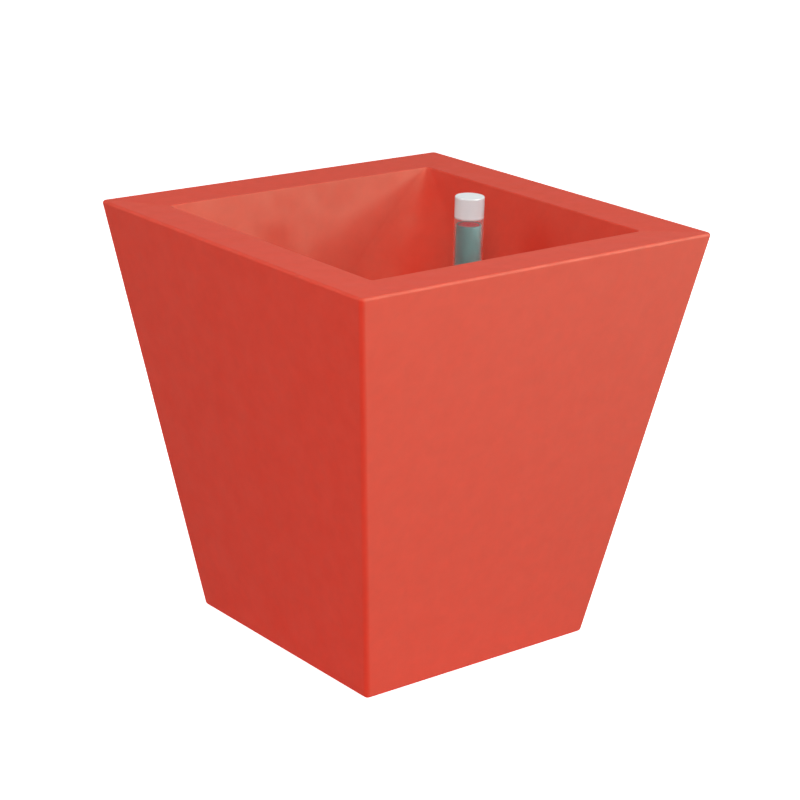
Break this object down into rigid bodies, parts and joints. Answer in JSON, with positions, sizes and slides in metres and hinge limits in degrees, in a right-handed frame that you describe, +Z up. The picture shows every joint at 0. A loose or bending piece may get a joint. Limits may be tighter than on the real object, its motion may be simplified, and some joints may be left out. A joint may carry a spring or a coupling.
{
  "type": "self-watering planter",
  "caption": "Square tapered plant pot with a lift-out watering plate, wicks, a drain plug and a float gauge that shows the water level in the reservoir.",
  "frame": {"origin": "middle of the foot on the ground", "axes": "+Z up through the rim; +X towards the gauge; -Y is the wall at the picture's front right, -X the wall at its front left"},
  "size_m": [0.399, 0.399, 0.4087],
  "materials": {
    "pot_plastic": "matte rotomoulded polyethylene, fine mottled grain",
    "kit_plastic": "moulded black polypropylene",
    "tube_plastic": "smooth grey extruded plastic",
    "clear_plastic": "clear polished plastic",
    "head_plastic": "glossy red plastic",
    "float_foam": "closed-cell foam",
    "rod_plastic": "white rod",
    "seal_rubber": "soft black rubber",
    "felt": "needled grey felt"
  },
  "bodies": {
    "pot": {"planter_shell": "pot_plastic", "bush_gasket": "seal_rubber", "drain_bush": "kit_plastic", "lock_nut": "kit_plastic", "overflow_pipe": "kit_plastic", "overflow_strainer": "kit_plastic"},
    "kit": {"separator_plate": "kit_plastic", "wick_cup_1": "kit_plastic", "wick_cup_2": "kit_plastic", "wick_cup_3": "kit_plastic", "felt_wick_1": "felt", "felt_wick_2": "felt", "felt_wick_3": "felt", "support_leg_1": "kit_plastic", "support_leg_2": "kit_plastic", "support_leg_3": "kit_plastic", "support_leg_4": "kit_plastic", "gauge_tube": "tube_plastic", "gauge_foot": "kit_plastic", "gauge_grommet": "seal_rubber"},
    "cap": {"gauge_cap": "clear_plastic"},
    "float": {"float_body": "float_foam", "float_rod": "rod_plastic", "indicator_head": "head_plastic"},
    "seal_ring": {"plug_seal": "seal_rubber"},
    "plug": {"drain_plug": "kit_plastic"}
  },
  "joints": [
    {"name": "kit_lift", "type": "slide", "parent": "pot", "child": "kit", "axis": [0, 0, 1], "range_m": [0, 0.38]},
    {"name": "cap_lift", "type": "slide", "parent": "kit", "child": "cap", "axis": [0, 0, 1], "range_m": [0, 0.12]},
    {"name": "float_rise", "type": "slide", "parent": "kit", "child": "float", "axis": [0, 0, 1], "range_m": [0, 0.024]},
    {"name": "plug_drop", "type": "slide", "parent": "pot", "child": "seal_ring", "axis": [0, 0, -1], "range_m": [0, 0.0045]},
    {"name": "plug_turn", "type": "hinge", "parent": "seal_ring", "child": "plug", "pos_m": [0, 0, 0], "axis": [0, 0, 1], "range_deg": [0, 810]}
  ],
  "couplings": [
    {"joint": "plug_drop", "follows": "plug_turn", "m_per_rad": 0.00031831}
  ]
}
